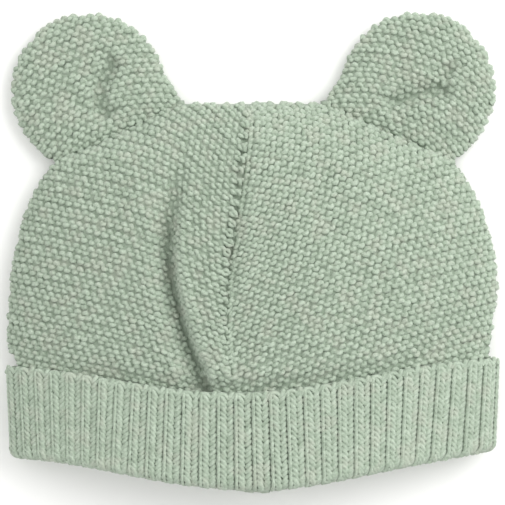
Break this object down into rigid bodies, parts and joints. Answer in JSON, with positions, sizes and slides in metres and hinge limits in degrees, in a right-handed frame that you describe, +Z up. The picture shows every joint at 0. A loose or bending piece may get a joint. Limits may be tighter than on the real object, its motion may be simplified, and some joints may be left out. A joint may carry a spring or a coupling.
{
  "type": "baby hat with ears",
  "caption": "Knitted baby hat with a folded ribbed cuff and round ears, a garter-stitch crown with a soft front fold, lying flat on its back.",
  "frame": {"origin": "middle of the hat's bounding box, on the surface that it lies on", "axes": "+Y from the cuff to the top of the crown, +X to the right of someone facing the front, +Z up out of the front"},
  "size_m": [0.19, 0.1858, 0.0338],
  "materials": {
    "garter_knit": "heathered sage-green wool yarn in garter stitch",
    "rib_knit": "the same heathered wool yarn in one by one rib"
  },
  "bodies": {
    "root": {"crown": "garter_knit", "cuff": "rib_knit", "ear_left": "garter_knit", "ear_right": "garter_knit"}
  },
  "joints": []
}
